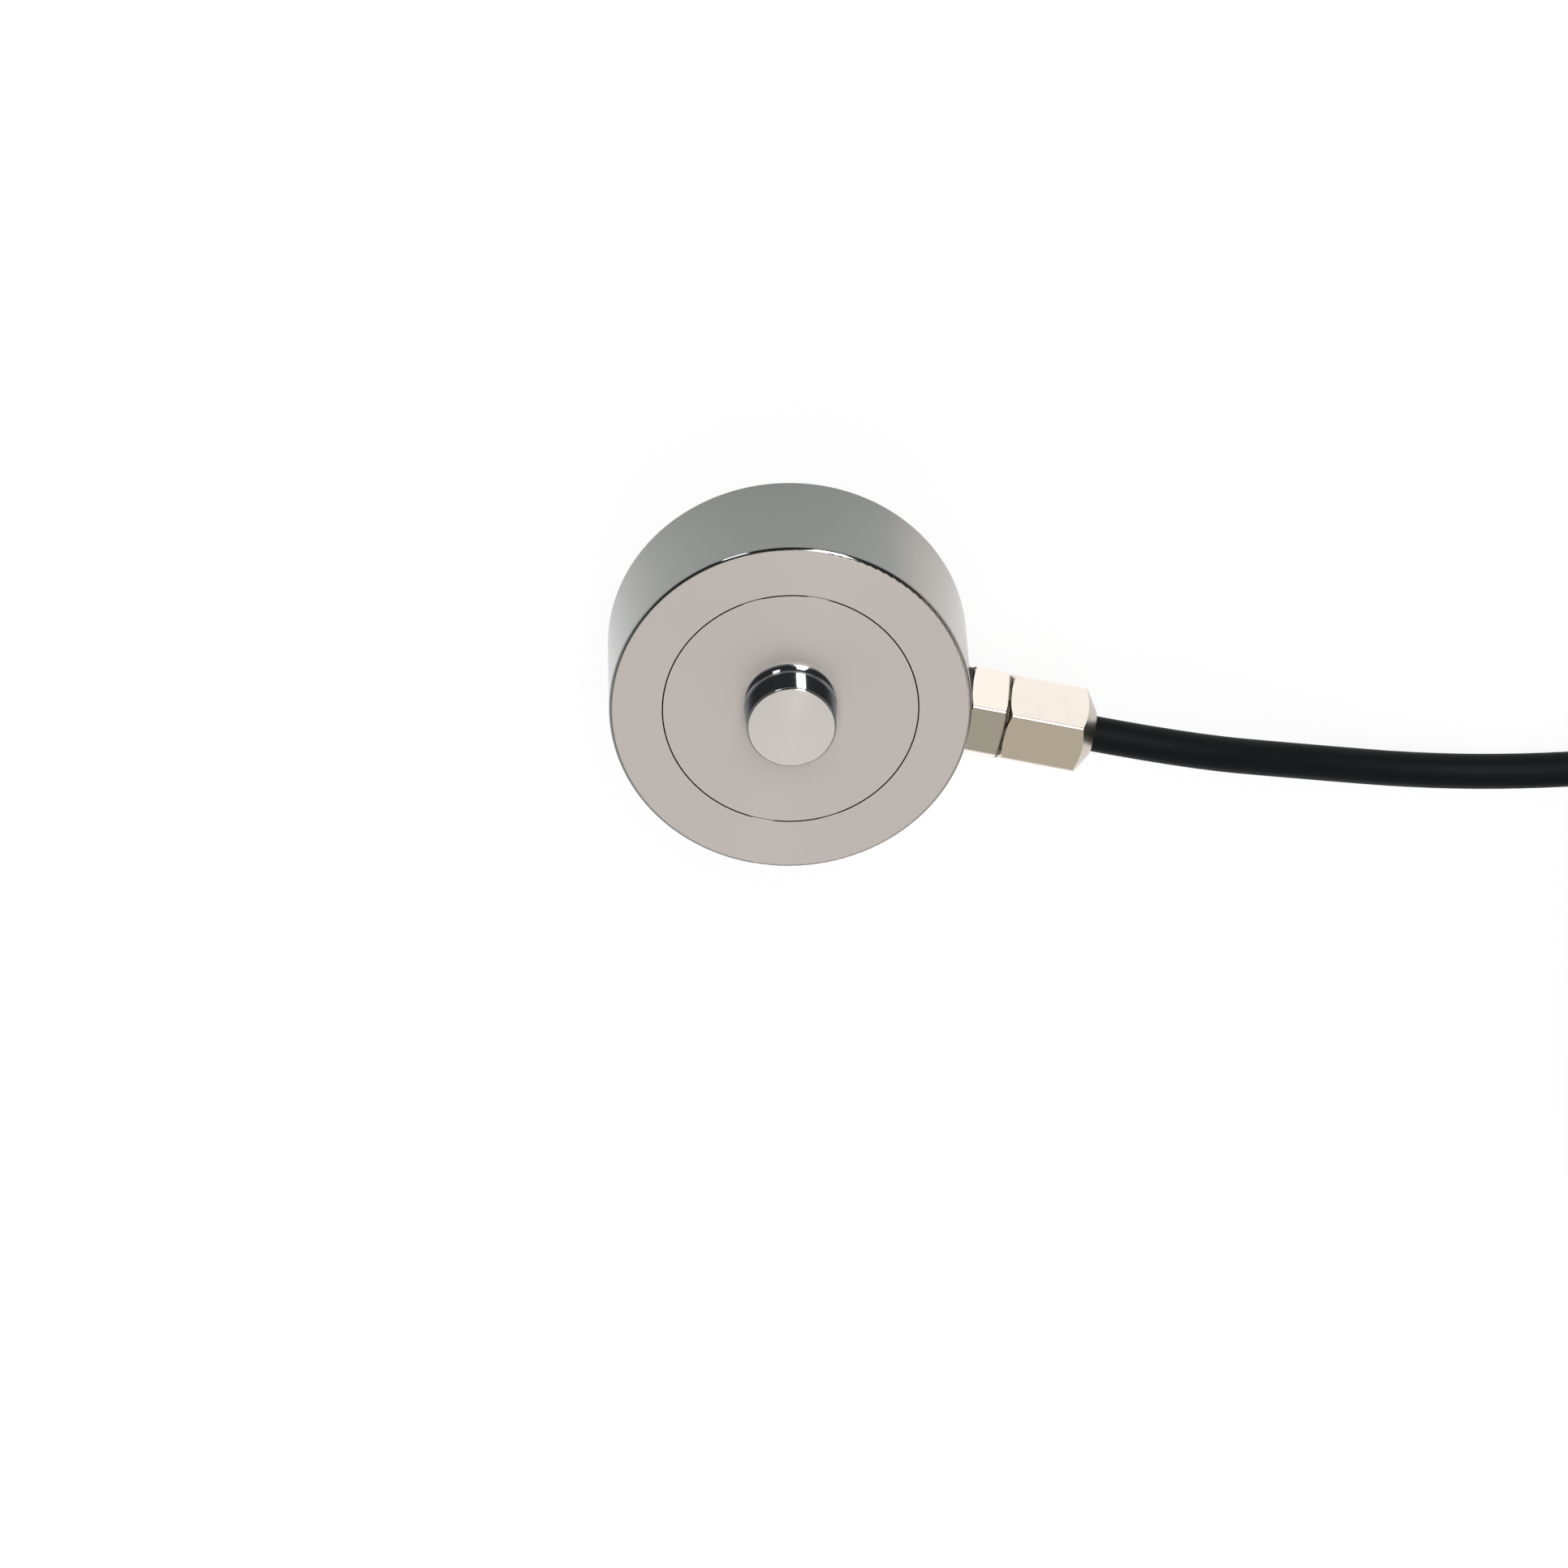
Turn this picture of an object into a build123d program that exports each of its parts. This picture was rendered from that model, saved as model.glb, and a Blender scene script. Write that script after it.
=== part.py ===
from build123d import *

import math
import os

# A button-type miniature compression load cell, lying on its flat base with the load button up.
# The origin is the centre of the base, +Z is the load axis and the cable gland points along +X.
# Lengths are in millimetres.

# Body
body_diameter = 30.0
body_height = 12.0
rim_round = 0.35
base_chamfer = 0.3
face_rim_width = 4.4
seam_chamfer = 0.05
turned_fit = 0.02
cavity_wall = 5.6

# Sensing element, turned from one bar with its load button
button_diameter = 7.4
button_height = 3.4
button_root_radius = 0.8
button_end_round = 0.2
button_crown_radius = 30.0
diaphragm_thickness = 1.6
diaphragm_width = 4.4
diaphragm_corner = 0.4
element_rim_width = 2.0
element_rim_height = 3.4
hub_height = 3.0

# Base cover and its gasket
cover_wall = 4.0
cover_thickness = 1.8
cover_spigot_height = 1.2
cover_spigot_wall = 1.0
cover_spigot_clearance = 0.1
gasket_thickness = 0.3
gasket_clearance = 0.05

# Strain gauges under the diaphragm, one on each side of the hub
gauge_count = 4
gauge_clearance = 0.3
gauge_width = 2.6
gauge_backing = 0.06
gauge_foil = 0.05
gauge_bar_count = 5
gauge_bar_width = 0.14
gauge_bar_pitch = 0.3
gauge_tab = 0.7
gauge_tab_gap = 0.5
gauge_tab_spacing = 1.4
gauge_margin = 0.25
gauge_first_angle = 45.0

# Terminal board with its chips and wires
board_hub_clearance = 1.2
board_wall_clearance = 0.2
board_thickness = 0.8
pad_height = 0.05
lead_pad_diameter = 0.6
core_pad_diameter = 0.86
gauge_wire_diameter = 0.2
chip_length = 1.6
chip_width = 0.8
chip_height = 0.45
chip_end = 0.3
chip_end_step = 0.04
chip_angles = (110.0, 150.0, 190.0, 230.0)

# Cable gland on the side of the body
port_board_clearance = 0.1
port_thread_diameter = 5.0
thread_clearance = 0.05
spotface_diameter = 7.8
spotface_depth = 0.5
port_seal_thickness = 0.45
port_seal_diameter = 7.2
port_seal_bulge = 0.15
port_thread_length = 4.0
hex_across_flats = 7.0
hex_corner_round = 0.25
gland_hex_length = 3.1
gland_hex_turn = 2.5
gland_chamfer = 0.18
nut_gap = 0.2
nut_thread_diameter = 5.5
nut_thread_length = 4.9
nut_length = 7.63
nut_turn = 0.0
nut_chamfer = 0.28
nut_cone_length = 1.36
nut_mouth_diameter = 3.9
chamfer_ring_diameter = 7.1
gland_bore_clearance = 0.15
grommet_diameter = 4.2
grommet_length = 3.0
grommet_collar = 0.7
grommet_collar_diameter = 5.2
grommet_squeeze_clearance = 0.02
grommet_fit = 0.05
clamp_ring_thickness = 0.5

# Cable and its cores
cable_diameter = 3.0
cable_wall_inset = 0.2
cable_joint_inset = 0.65
core_diameter = 0.7
core_spread_y = 1.0
core_spread_z = 0.9
core_straight = 1.4
core_colours = ("red", "black", "green", "white")

# Free cable: where its straight start bends, then the points chosen by hand down to the bench and along it
cable_straight_end = 34.0
cable_bends = [
    (44.0, -0.3, 3.6),
    (56.0, 0.0, cable_diameter / 2),
    (67.0, 2.5, cable_diameter / 2),
]
coil_touch_x = 89.5
coil_touch_y = 10.5

# Coil of the length that is put away: full layers, one more turn on top, and the end lying beside it
coil_columns = 4
coil_layers = 4
coil_inner_turn_radius = 13.5
coil_edge_bevel = 1.2
coil_entry_stub = 14.0
tie_thickness = 0.5
tie_clearance = 0.05
tie_width = 2.5
tie_angles = (38.0, 218.0)
tie_head_length = 4.0
tie_head_width = 3.2
tie_head_height = 2.2
tie_tail_length = 2.0

# Free end of the cable, on top of the coil; angles are measured from where the cable meets the coil
end_radius = 18.3
end_leaves_angle = 30.0
end_sink = 0.2
end_turns_angle = 12.0
end_starts_angle = -22.0
end_straight = 5.0
sleeve_diameter = 3.9
sleeve_bore_clearance = 0.05
sleeve_length = 12.0
sleeve_start = 2.0
sleeve_overlap = 5.0
lead_diameter = 0.9
lead_pitch = 1.1
shield_diameter = 0.6
lead_steps = (0.1, 3.7, 7.4, 12.0, 17.0, 22.0)
lead_fan = 1.3
lead_shift = 2.0
lead_clearance = 0.02
tip_diameter = 0.5
tip_length = 4.0
lead_order = ("red", "black", "shield", "green", "white")

# Heights and places that follow from the dimensions
body_radius = body_diameter / 2
seam_radius = body_radius - face_rim_width
cavity_radius = body_radius - cavity_wall
cover_radius = body_radius - cover_wall
button_radius = button_diameter / 2
button_top = body_height + button_height
diaphragm_radius = seam_radius - element_rim_width
hub_radius = diaphragm_radius - diaphragm_width
diaphragm_bottom = body_height - diaphragm_thickness
element_seat = body_height - element_rim_height
cover_ledge = cover_thickness + gasket_thickness
board_top = element_seat
board_bottom = board_top - board_thickness
board_inner_radius = hub_radius + board_hub_clearance
board_outer_radius = cavity_radius - board_wall_clearance
chip_circle_radius = (board_inner_radius + board_outer_radius) / 2
gauge_length = diaphragm_width - 2 * (diaphragm_corner + gauge_clearance)
gauge_bar_length = gauge_length - 2 * gauge_margin - gauge_tab - gauge_tab_gap
gauge_circle_radius = hub_radius + diaphragm_width / 2
gauge_face = diaphragm_bottom - gauge_backing - gauge_foil
gauge_tab_radius = gauge_circle_radius + gauge_length / 2 - gauge_margin - gauge_tab / 2

cable_radius = cable_diameter / 2
port_height = board_bottom - port_board_clearance - cable_radius
port_radius = port_thread_diameter / 2 + thread_clearance
spotface_x = body_radius - spotface_depth
gland_hex_x = spotface_x + port_seal_thickness
gland_hex_end = gland_hex_x + gland_hex_length
nut_x = gland_hex_end + nut_gap
nut_end = nut_x + nut_length
gland_end = gland_hex_end + nut_thread_length
grommet_end = gland_end + grommet_collar
grommet_x = grommet_end - grommet_length
nut_shoulder = grommet_end + clamp_ring_thickness
hex_corner_radius = hex_across_flats / 2 / math.cos(math.radians(30))
cable_bore_radius = cable_radius + gland_bore_clearance
cable_joint_x = nut_end - cable_joint_inset
cable_inner_end = cavity_radius + cable_wall_inset
core_bend_x = cable_inner_end - core_straight

coil_base = tie_thickness + 2 * tie_clearance
coil_entry_height = coil_base + cable_radius
coil_outer_turn_radius = coil_inner_turn_radius + (coil_columns - 1) * cable_diameter
coil_hole_radius = coil_inner_turn_radius - cable_radius
coil_outer_radius = coil_outer_turn_radius + cable_radius
coil_ledge = coil_base + coil_layers * cable_diameter
coil_top = coil_ledge + cable_diameter

coil_touch = Vector(coil_touch_x, coil_touch_y, coil_entry_height)
entry_direction = (coil_touch - Vector(*cable_bends[-1])).normalized()
entry_angle = math.degrees(math.atan2(entry_direction.Y, entry_direction.X))
entry_left = Vector(-entry_direction.Y, entry_direction.X, 0).normalized()
coil_centre = Vector(coil_touch.X, coil_touch.Y, 0) - entry_left * coil_outer_turn_radius
cable_end = coil_touch - entry_direction * coil_entry_stub
touch_angle = entry_angle + 90
top_turn_height = coil_ledge + cable_radius
end_height = coil_ledge + sleeve_diameter / 2
jacket_end_distance = sleeve_start + sleeve_overlap

gland_axis = Axis((0, 0, port_height), (1, 0, 0))
coil_axis = Axis(coil_centre, (0, 0, 1))

os.makedirs("parts", exist_ok=True)


def write_piece(piece, name):
    """Name a finished piece and write it to its own file."""
    piece.part.label = name
    export_step(piece.part, f"parts/{name}.step")


def ring_edges(piece, radius, height):
    """The circular edges of a turned piece at one radius and height."""
    return piece.edges().filter_by(GeomType.CIRCLE).filter_by(
        lambda edge: abs(edge.radius - radius) < 0.005 and abs(edge.arc_center.Z - height) < 0.005
    )


def across(x):
    """The plane square to the gland's axis at a distance from the load axis."""
    return Plane(origin=(x, 0, port_height), x_dir=(0, 1, 0), z_dir=(1, 0, 0))


def hex_plane(x, turn):
    """As across, turned so that a flat's normal leans by turn degrees from +Z towards +Y."""
    corner = math.radians(turn + 30)
    return Plane(
        origin=(x, 0, port_height), x_dir=(0, math.sin(corner), math.cos(corner)), z_dir=(1, 0, 0)
    )


def gland_section():
    """The plane through the gland's axis: its first direction is +X, its second the radius."""
    return Plane(origin=(0, 0, port_height), x_dir=(1, 0, 0), z_dir=(0, -1, 0))


def bend_radii(points):
    """The largest even bends that the runs of a route leave room for."""
    radii = []
    for before, corner, after in zip(points, points[1:], points[2:]):
        arriving = corner - before
        leaving = after - corner
        half_turn = math.radians(arriving.get_angle(leaving)) / 2
        radii.append(0.45 * min(arriving.length, leaving.length) / math.tan(half_turn))
    return radii


# Housing: a turned ring with a seat for the element, a cavity, a seat for the cover and the port
with BuildPart() as housing:
    with BuildSketch(Plane.XZ):
        with BuildLine():
            Polyline(
                (body_radius, 0),
                (body_radius, body_height),
                (seam_radius, body_height),
                (seam_radius, element_seat),
                (cavity_radius, element_seat),
                (cavity_radius, cover_ledge),
                (cover_radius, cover_ledge),
                (cover_radius, 0),
                close=True,
            )
        make_face()
    revolve(axis=Axis.Z)
    fillet(ring_edges(housing, body_radius, body_height), radius=rim_round)
    chamfer(ring_edges(housing, body_radius, 0), length=base_chamfer)
    chamfer(ring_edges(housing, seam_radius, body_height), length=seam_chamfer)
    chamfer(ring_edges(housing, cover_radius, 0), length=seam_chamfer)
    with Locations(across(body_radius)):
        CounterBoreHole(
            radius=port_radius,
            counter_bore_radius=spotface_diameter / 2,
            counter_bore_depth=spotface_depth,
            depth=body_radius - cavity_radius + port_radius,
        )
write_piece(housing, "housing")

# Sensing element: load button, concave root, face, diaphragm, hub and rim in one turned piece
element_radius = seam_radius - turned_fit
crown_edge = math.sqrt(button_crown_radius**2 - button_radius**2)
crown_middle = math.sqrt(button_crown_radius**2 - (button_radius / 2) ** 2)
crown_centre = button_top - button_crown_radius
with BuildPart() as sensing_element:
    with BuildSketch(Plane.XZ):
        with BuildLine():
            ThreePointArc(
                (0, button_top),
                (button_radius / 2, crown_centre + crown_middle),
                (button_radius, crown_centre + crown_edge),
            )
            Polyline(
                (button_radius, crown_centre + crown_edge),
                (button_radius, body_height),
                (element_radius, body_height),
                (element_radius, element_seat),
                (diaphragm_radius, element_seat),
                (diaphragm_radius, diaphragm_bottom - diaphragm_corner),
                (diaphragm_radius - diaphragm_corner, diaphragm_bottom),
                (hub_radius + diaphragm_corner, diaphragm_bottom),
                (hub_radius, diaphragm_bottom - diaphragm_corner),
                (hub_radius, body_height - hub_height),
                (0, body_height - hub_height),
                (0, button_top),
            )
        make_face()
    revolve(axis=Axis.Z)
    fillet(ring_edges(sensing_element, button_radius, body_height), radius=button_root_radius)
    fillet(
        ring_edges(sensing_element, button_radius, crown_centre + crown_edge), radius=button_end_round
    )
    chamfer(ring_edges(sensing_element, element_radius, body_height), length=seam_chamfer)
write_piece(sensing_element, "sensing_element")

# Base cover: a disc flush with the base, with a thin spigot that centres it in the cavity
spigot_radius = cavity_radius - cover_spigot_clearance
with BuildPart() as base_cover:
    with BuildSketch(Plane.XY):
        Circle(cover_radius - turned_fit)
    extrude(amount=cover_thickness)
    with BuildSketch(Plane.XY.offset(cover_thickness)):
        Circle(spigot_radius)
        Circle(spigot_radius - cover_spigot_wall, mode=Mode.SUBTRACT)
    extrude(amount=cover_spigot_height)
    chamfer(ring_edges(base_cover, cover_radius - turned_fit, 0), length=seam_chamfer)
write_piece(base_cover, "base_cover")

# Gasket between the cover's shoulder and the ledge in the housing
with BuildPart() as base_gasket:
    with BuildSketch(Plane.XY.offset(cover_thickness)):
        Circle(cover_radius - turned_fit - gasket_clearance)
        Circle(cavity_radius, mode=Mode.SUBTRACT)
    extrude(amount=gasket_thickness)
write_piece(base_gasket, "base_gasket")


def make_strain_gauge(angle):
    """A foil gauge: a backing film with a folded grid of bars and two solder tabs on it."""
    turn = math.radians(angle)
    outward = (math.cos(turn), math.sin(turn), 0)
    centre = Vector(*outward) * gauge_circle_radius + Vector(0, 0, diaphragm_bottom)
    bonded = Plane(origin=centre, x_dir=outward, z_dir=(0, 0, -1))
    grid_start = -gauge_length / 2 + gauge_margin
    grid_middle = grid_start + gauge_bar_length / 2
    tab_x = gauge_tab_radius - gauge_circle_radius
    with BuildPart() as gauge:
        with BuildSketch(bonded):
            RectangleRounded(gauge_length, gauge_width, radius=gauge_margin)
        extrude(amount=gauge_backing)
        with BuildSketch(bonded.offset(gauge_backing)):
            with Locations((grid_middle, 0)):
                with GridLocations(gauge_bar_length, gauge_bar_pitch, 1, gauge_bar_count):
                    Rectangle(gauge_bar_length, gauge_bar_width)
            for fold in range(gauge_bar_count - 1):
                fold_x = grid_start if fold % 2 else grid_start + gauge_bar_length
                fold_y = (fold - gauge_bar_count / 2 + 1) * gauge_bar_pitch
                with Locations((fold_x, fold_y)):
                    Rectangle(gauge_bar_width, gauge_bar_pitch + gauge_bar_width)
            with Locations((tab_x, 0)):
                with GridLocations(1, gauge_tab_spacing, 1, 2):
                    Rectangle(gauge_tab, gauge_tab)
            foil_edge = (gauge_bar_count - 1) / 2 * gauge_bar_pitch
            tab_reach = tab_x - grid_middle
            with Locations((grid_middle + tab_reach / 2, 0)):
                with GridLocations(1, 2 * foil_edge, 1, 2):
                    Rectangle(tab_reach, gauge_bar_width)
        extrude(amount=gauge_foil)
    return gauge


def around(count, first):
    """Evenly spaced angles on a full turn."""
    return [first + 360 / count * number for number in range(count)]


def gauge_tab_places():
    """The middles of all solder tabs, seen from above."""
    places = []
    for angle in around(gauge_count, gauge_first_angle):
        for side in (-1, 1):
            tab = Vector(gauge_tab_radius, side * gauge_tab_spacing / 2, 0)
            places.append(tab.rotate(Axis.Z, angle))
    return places


for number, angle in enumerate(around(gauge_count, gauge_first_angle), start=1):
    write_piece(make_strain_gauge(angle), f"strain_gauge_{number}")

# The four cores leave the cable's end inside the port: the upper pair bends up first
core_rows = {"red": (1, 1), "black": (-1, 1), "green": (1, -1), "white": (-1, -1)}


def core_start(colour):
    """The middle of a core on the end of the cable in the port."""
    side, level = core_rows[colour]
    return Vector(
        cable_inner_end, side * core_spread_y / 2, port_height + level * core_spread_z / 2
    )


def core_bend(colour):
    """The radius at which a core turns up to its pad on the board."""
    return board_bottom - pad_height - core_start(colour).Z


# Terminal board: a ring under the element's rim, with pads for the gauge wires and the cores
with BuildPart() as terminal_board:
    with BuildSketch(Plane.XY.offset(board_bottom)):
        Circle(board_outer_radius)
        Circle(board_inner_radius, mode=Mode.SUBTRACT)
    extrude(amount=board_thickness)
    with BuildSketch(Plane.XY.offset(board_top)):
        with Locations(*gauge_tab_places()):
            Circle(lead_pad_diameter / 2)
    extrude(amount=pad_height)
    with BuildSketch(Plane.XY.offset(board_bottom)):
        with Locations(
            *[(core_bend_x - core_bend(name), core_start(name).Y) for name in core_colours]
        ):
            Circle(core_pad_diameter / 2)
    extrude(amount=-pad_height)
write_piece(terminal_board, "terminal_board")

# Gauge wires: from each solder tab straight down to its pad on the board
with BuildPart() as gauge_wires:
    with BuildSketch(Plane.XY.offset(board_top + pad_height)):
        with Locations(*gauge_tab_places()):
            Circle(gauge_wire_diameter / 2)
    extrude(amount=gauge_face - board_top - pad_height)
write_piece(gauge_wires, "gauge_wires")

# Trim resistors: chips with raised end caps, under the board and away from the port
with BuildPart() as trim_resistors:
    for angle in chip_angles:
        turn = math.radians(angle)
        outward = Vector(math.cos(turn), math.sin(turn), 0)
        chip_plane = Plane(
            origin=outward * chip_circle_radius + Vector(0, 0, board_bottom),
            x_dir=outward.cross(Vector(0, 0, 1)),
            z_dir=(0, 0, -1),
        )
        with BuildSketch(chip_plane):
            Rectangle(chip_length - chip_end, chip_width)
        extrude(amount=chip_height - chip_end_step)
        with BuildSketch(chip_plane):
            with GridLocations(chip_length - chip_end, 1, 2, 1):
                Rectangle(chip_end, chip_width + chip_end_step)
        extrude(amount=chip_height)
write_piece(trim_resistors, "trim_resistors")


def make_core(colour):
    """A core of the cable inside the body, from the cable's end to its pad."""
    start = core_start(colour)
    bend = core_bend(colour)
    with BuildPart() as core:
        with BuildLine() as route:
            Line(start, (core_bend_x, start.Y, start.Z))
            ThreePointArc(
                (core_bend_x, start.Y, start.Z),
                (
                    core_bend_x - bend * math.sin(math.pi / 4),
                    start.Y,
                    start.Z + bend * (1 - math.cos(math.pi / 4)),
                ),
                (core_bend_x - bend, start.Y, start.Z + bend),
            )
        with BuildSketch(Plane(origin=start, z_dir=(-1, 0, 0))):
            Circle(core_diameter / 2)
        sweep(path=route.line)
    return core


for colour in core_colours:
    write_piece(make_core(colour), f"core_{colour}")

# Seal between the body and the gland: a ring squeezed flat on both sides
seal_inner = port_thread_diameter / 2 + thread_clearance
seal_outer = port_seal_diameter / 2
with BuildPart() as port_seal:
    with BuildSketch(gland_section()):
        with BuildLine():
            Polyline(
                (spotface_x, seal_outer - port_seal_bulge),
                (spotface_x, seal_inner),
                (gland_hex_x, seal_inner),
                (gland_hex_x, seal_outer - port_seal_bulge),
            )
            ThreePointArc(
                (spotface_x, seal_outer - port_seal_bulge),
                ((spotface_x + gland_hex_x) / 2, seal_outer),
                (gland_hex_x, seal_outer - port_seal_bulge),
            )
        make_face()
    revolve(axis=gland_axis)
write_piece(port_seal, "port_seal")


def round_bar(start, end, diameter, mode=Mode.ADD):
    """A cylinder along the gland's axis, added to or cut from the piece being made."""
    with BuildSketch(across(start)) as section:
        Circle(diameter / 2)
    extrude(section.sketch, amount=end - start, mode=mode)


def hex_bar(start, end, turn):
    """A length of hexagon bar along the gland's axis, with slightly rounded corners."""
    with BuildSketch(hex_plane(start, turn)) as section:
        RegularPolygon(hex_across_flats / 2, side_count=6, major_radius=False)
        fillet(section.vertices(), radius=hex_corner_round)
    extrude(section.sketch, amount=end - start)


def turned_outline(points):
    """Keep only what lies within a turned outline of (distance, radius) points."""
    with BuildSketch(gland_section()) as section:
        with BuildLine():
            Polyline((points[0][0], 0), *points, (points[-1][0], 0), close=True)
        make_face()
    revolve(section.sketch, axis=gland_axis, mode=Mode.INTERSECT)


# Gland body: a short hexagon with a thread into the body and a thread for the nut
blank_radius = hex_corner_radius + hex_corner_round
chamfer_reach = blank_radius - chamfer_ring_diameter / 2
gland_chamfer_slope = gland_chamfer / (hex_corner_radius - chamfer_ring_diameter / 2)
nut_chamfer_slope = nut_chamfer / (hex_corner_radius - chamfer_ring_diameter / 2)
with BuildPart() as gland_body:
    hex_bar(gland_hex_x, gland_hex_end, gland_hex_turn)
    turned_outline(
        [
            (gland_hex_x, chamfer_ring_diameter / 2),
            (gland_hex_x + chamfer_reach * gland_chamfer_slope, blank_radius),
            (gland_hex_end - chamfer_reach * gland_chamfer_slope, blank_radius),
            (gland_hex_end, chamfer_ring_diameter / 2),
        ]
    )
    round_bar(gland_hex_x - port_thread_length, gland_hex_x, port_thread_diameter)
    round_bar(gland_hex_end, gland_end, nut_thread_diameter)
    round_bar(
        gland_hex_x - port_thread_length, gland_end, 2 * cable_bore_radius, mode=Mode.SUBTRACT
    )
    round_bar(grommet_x, gland_end, grommet_diameter + 2 * grommet_fit, mode=Mode.SUBTRACT)
write_piece(gland_body, "gland_body")

# Grommet: a rubber sleeve on the cable, with a collar that stands on the gland's end
with BuildPart() as cable_grommet:
    round_bar(grommet_x, gland_end, grommet_diameter)
    round_bar(gland_end, grommet_end, grommet_collar_diameter)
    round_bar(
        grommet_x, grommet_end, cable_diameter + 2 * grommet_squeeze_clearance, mode=Mode.SUBTRACT
    )
write_piece(cable_grommet, "cable_grommet")

# Clamp ring between the grommet and the nut's shoulder
with BuildPart() as clamp_ring:
    round_bar(grommet_end, nut_shoulder, grommet_collar_diameter)
    round_bar(grommet_end, nut_shoulder, 2 * cable_bore_radius, mode=Mode.SUBTRACT)
write_piece(clamp_ring, "clamp_ring")

# Cap nut: the long hexagon with a tapered mouth that the cable leaves
nut_cone_slope = nut_cone_length / (hex_corner_radius - nut_mouth_diameter / 2)
nut_cone_reach = (blank_radius - nut_mouth_diameter / 2) * nut_cone_slope
with BuildPart() as cap_nut:
    hex_bar(nut_x, nut_end, nut_turn)
    turned_outline(
        [
            (nut_x, chamfer_ring_diameter / 2),
            (nut_x + chamfer_reach * nut_chamfer_slope, blank_radius),
            (nut_end - nut_cone_reach, blank_radius),
            (nut_end, nut_mouth_diameter / 2),
        ]
    )
    round_bar(nut_x, nut_shoulder, nut_thread_diameter + 2 * thread_clearance, mode=Mode.SUBTRACT)
    round_bar(nut_shoulder, nut_end, 2 * cable_bore_radius, mode=Mode.SUBTRACT)
write_piece(cap_nut, "cap_nut")

# Cable inside the gland
with BuildPart() as cable_inner:
    round_bar(cable_inner_end, cable_joint_x, cable_diameter)
write_piece(cable_inner, "cable_inner")

# Free cable, from the nut's mouth down to the bench and on to the coil
cable_points = [
    Vector(cable_joint_x, 0, port_height),
    Vector(cable_straight_end, 0, port_height),
    *[Vector(*point) for point in cable_bends],
    cable_end,
]
cable_radii = bend_radii(cable_points)
with BuildPart() as cable:
    with BuildLine() as cable_route:
        FilletPolyline(*cable_points, radius=cable_radii)
    with BuildSketch(across(cable_joint_x)):
        Circle(cable_radius)
    sweep(path=cable_route.line)
write_piece(cable, "cable")
cable_length = sum(edge.length for edge in cable_route.line.edges())
cable_section = math.pi * cable_radius**2
print("cable bend radii", [round(radius, 1) for radius in cable_radii])
print("cable length", round(cable_length, 1))
print("cable volume over section times length", cable.part.volume / (cable_section * cable_length))


def coil_section(angle):
    """The upright plane through the coil's axis at one angle: radius, then height."""
    turn = math.radians(angle)
    return Plane(
        origin=coil_centre,
        x_dir=(math.cos(turn), math.sin(turn), 0),
        z_dir=(math.sin(turn), -math.cos(turn), 0),
    )


def on_coil(angle, radius, height):
    """A point of the coil: the angle counts from where the cable meets it."""
    return coil_centre + Vector(radius, 0, height).rotate(Axis.Z, touch_angle + angle)


def end_angle(distance):
    """The angle at a distance along the cable's end, which goes round the coil clockwise."""
    return end_starts_angle - math.degrees(distance / end_radius)


# Corners of the coil's cross-section: bevelled all round, with the top turn on its outer edge
top_turn_inner = coil_outer_radius - cable_diameter
coil_corners = [
    (coil_hole_radius, coil_base + coil_edge_bevel),
    (coil_hole_radius + coil_edge_bevel, coil_base),
    (coil_outer_radius - coil_edge_bevel, coil_base),
    (coil_outer_radius, coil_base + coil_edge_bevel),
    (coil_outer_radius, coil_top - coil_edge_bevel),
    (coil_outer_radius - coil_edge_bevel, coil_top),
    (top_turn_inner + coil_edge_bevel, coil_top),
]
top_turn_corners = [
    (top_turn_inner, coil_top - coil_edge_bevel),
    (top_turn_inner, coil_ledge),
]
ledge_corners = [
    (coil_hole_radius + coil_edge_bevel, coil_ledge),
    (coil_hole_radius, coil_ledge - coil_edge_bevel),
]

# Coil: the outer shape of all its turns, with the stub where the cable enters and the cable's end
end_route = [
    on_coil(end_leaves_angle, coil_outer_turn_radius - end_sink, top_turn_height - end_sink),
    on_coil(end_turns_angle, coil_outer_turn_radius - cable_radius / 2, top_turn_height - end_sink),
    on_coil(end_starts_angle, end_radius, end_height)
    + Vector(0, end_straight, 0).rotate(Axis.Z, touch_angle + end_starts_angle),
    on_coil(end_starts_angle, end_radius, end_height),
]
with BuildPart() as cable_coil:
    with BuildSketch(coil_section(0)):
        with BuildLine():
            Polyline(*coil_corners, *top_turn_corners, *ledge_corners, close=True)
        make_face()
    revolve(axis=coil_axis)
    with BuildSketch(Plane(origin=cable_end, z_dir=entry_direction)):
        Circle(cable_radius)
    extrude(amount=coil_entry_stub)
    with BuildLine() as end_line:
        FilletPolyline(*end_route, radius=bend_radii(end_route))
    with BuildSketch(Plane(origin=end_route[0], z_dir=end_route[1] - end_route[0])):
        Circle(cable_radius)
    sweep(path=end_line.line)
    jacket_end_angle = end_angle(jacket_end_distance)
    with BuildSketch(coil_section(touch_angle + jacket_end_angle)):
        with Locations((end_radius, end_height)):
            Circle(cable_radius)
    revolve(axis=coil_axis, revolution_arc=end_starts_angle - jacket_end_angle)
write_piece(cable_coil, "cable_coil")

# Ties: a strap pulled tight round the coil's section, with its head and the end of the strap on top
tie_radius = (coil_hole_radius + coil_outer_radius) / 2
tie_arc = math.degrees(tie_width / tie_radius)
slope_low = Vector(*ledge_corners[0])
slope_high = Vector(*coil_corners[-1])


def tie_outline(angle, growth):
    """The tight outline round the coil's cross-section at one angle, grown by a distance."""
    with BuildSketch(coil_section(angle)) as outline:
        with BuildLine():
            Polyline(*coil_corners, *ledge_corners, close=True)
        make_face()
        offset(amount=growth, kind=Kind.INTERSECTION)
    return outline.sketch


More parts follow.
